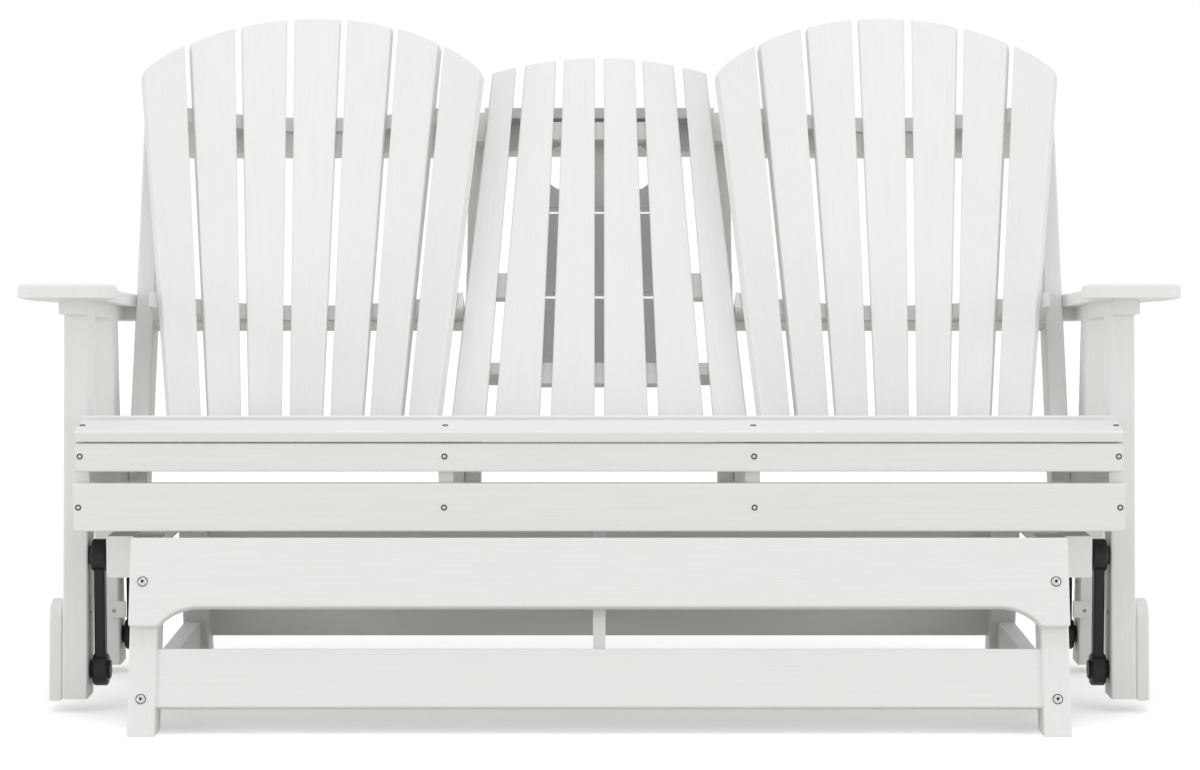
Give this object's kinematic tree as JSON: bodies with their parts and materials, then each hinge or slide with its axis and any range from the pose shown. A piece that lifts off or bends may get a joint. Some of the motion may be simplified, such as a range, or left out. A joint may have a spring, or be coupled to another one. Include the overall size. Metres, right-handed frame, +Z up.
{
  "type": "glider loveseat",
  "caption": "Slatted porch glider for two with fan backs, broad arms and links under a splayed base; its centre back folds down as a table with cup holes.",
  "frame": {"origin": "on the floor under the middle of the whole object", "axes": "+X to the right as seen from the front, +Y to the back, +Z up"},
  "size_m": [1.604, 0.7921, 0.9826],
  "materials": {
    "white_lumber": "fine embossed grain",
    "black_link": "moulded",
    "stainless": "satin"
  },
  "bodies": {
    "base": {"front_left_leg": "white_lumber", "front_right_leg": "white_lumber", "rear_left_leg": "white_lumber", "rear_right_leg": "white_lumber", "left_top_beam": "white_lumber", "right_top_beam": "white_lumber", "left_side_bar": "white_lumber", "right_side_bar": "white_lumber", "front_apron": "white_lumber", "rear_apron": "white_lumber", "front_lower_rail": "white_lumber", "rear_lower_rail": "white_lumber", "centre_brace": "white_lumber", "upper_pivot_pins": "black_link"},
    "rear_left_link": {"rear_left_link": "black_link"},
    "front_left_link": {"front_left_link": "black_link"},
    "front_right_link": {"front_right_link": "black_link"},
    "rear_right_link": {"rear_right_link": "black_link"},
    "seat": {"arm_cleats": "white_lumber", "centre_rails": "white_lumber", "console_cleats": "white_lumber", "fan_rails": "white_lumber", "front_board": "white_lumber", "front_left_post": "white_lumber", "front_right_post": "white_lumber", "hinge_bolts": "stainless", "infill_slats": "white_lumber", "left_arm": "white_lumber", "left_arm_bar": "white_lumber", "left_fan_braces": "white_lumber", "left_fan_slats": "white_lumber", "left_inner_stile": "white_lumber", "left_inner_support": "white_lumber", "left_outer_stile": "white_lumber", "left_outer_support": "white_lumber", "left_post_covers": "white_lumber", "lower_pivot_pins": "black_link", "nose_slat": "white_lumber", "post_blocks": "white_lumber", "rear_left_post": "white_lumber", "rear_right_post": "white_lumber", "right_arm": "white_lumber", "right_arm_bar": "white_lumber", "right_fan_braces": "white_lumber", "right_fan_slats": "white_lumber", "right_inner_stile": "white_lumber", "right_inner_support": "white_lumber", "right_outer_stile": "white_lumber", "right_outer_support": "white_lumber", "right_post_covers": "white_lumber", "seat_slats": "white_lumber", "upper_front_board": "white_lumber"},
    "console": {"console_battens": "white_lumber", "console_cup_board": "white_lumber", "console_hinge_rail": "white_lumber", "console_slats": "white_lumber", "console_table_boards": "white_lumber"}
  },
  "joints": [
    {"name": "rear_left_swing", "type": "hinge", "parent": "base", "child": "rear_left_link", "pos_m": [-0.703, 0.1749, 0.218], "axis": [1, 0, 0], "range_deg": [-20, 20]},
    {"name": "seat_level", "type": "hinge", "parent": "rear_left_link", "child": "seat", "pos_m": [-0.703, 0.1749, 0.056], "axis": [1, 0, 0], "range_deg": [-20, 20]},
    {"name": "front_left_swing", "type": "hinge", "parent": "base", "child": "front_left_link", "pos_m": [-0.703, -0.1671, 0.218], "axis": [1, 0, 0], "range_deg": [-20, 20]},
    {"name": "front_right_swing", "type": "hinge", "parent": "base", "child": "front_right_link", "pos_m": [0.703, -0.1671, 0.218], "axis": [1, 0, 0], "range_deg": [-20, 20]},
    {"name": "rear_right_swing", "type": "hinge", "parent": "base", "child": "rear_right_link", "pos_m": [0.703, 0.1749, 0.218], "axis": [1, 0, 0], "range_deg": [-20, 20]},
    {"name": "console_fold", "type": "hinge", "parent": "seat", "child": "console", "pos_m": [0, 0.18319, 0.44397], "axis": [1, 0, 0], "range_deg": [0, 109]}
  ],
  "couplings": [
    {"joint": "seat_level", "follows": "rear_left_swing", "ratio": -1},
    {"joint": "front_left_swing", "follows": "rear_left_swing", "ratio": 1},
    {"joint": "front_right_swing", "follows": "rear_left_swing", "ratio": 1},
    {"joint": "rear_right_swing", "follows": "rear_left_swing", "ratio": 1}
  ]
}
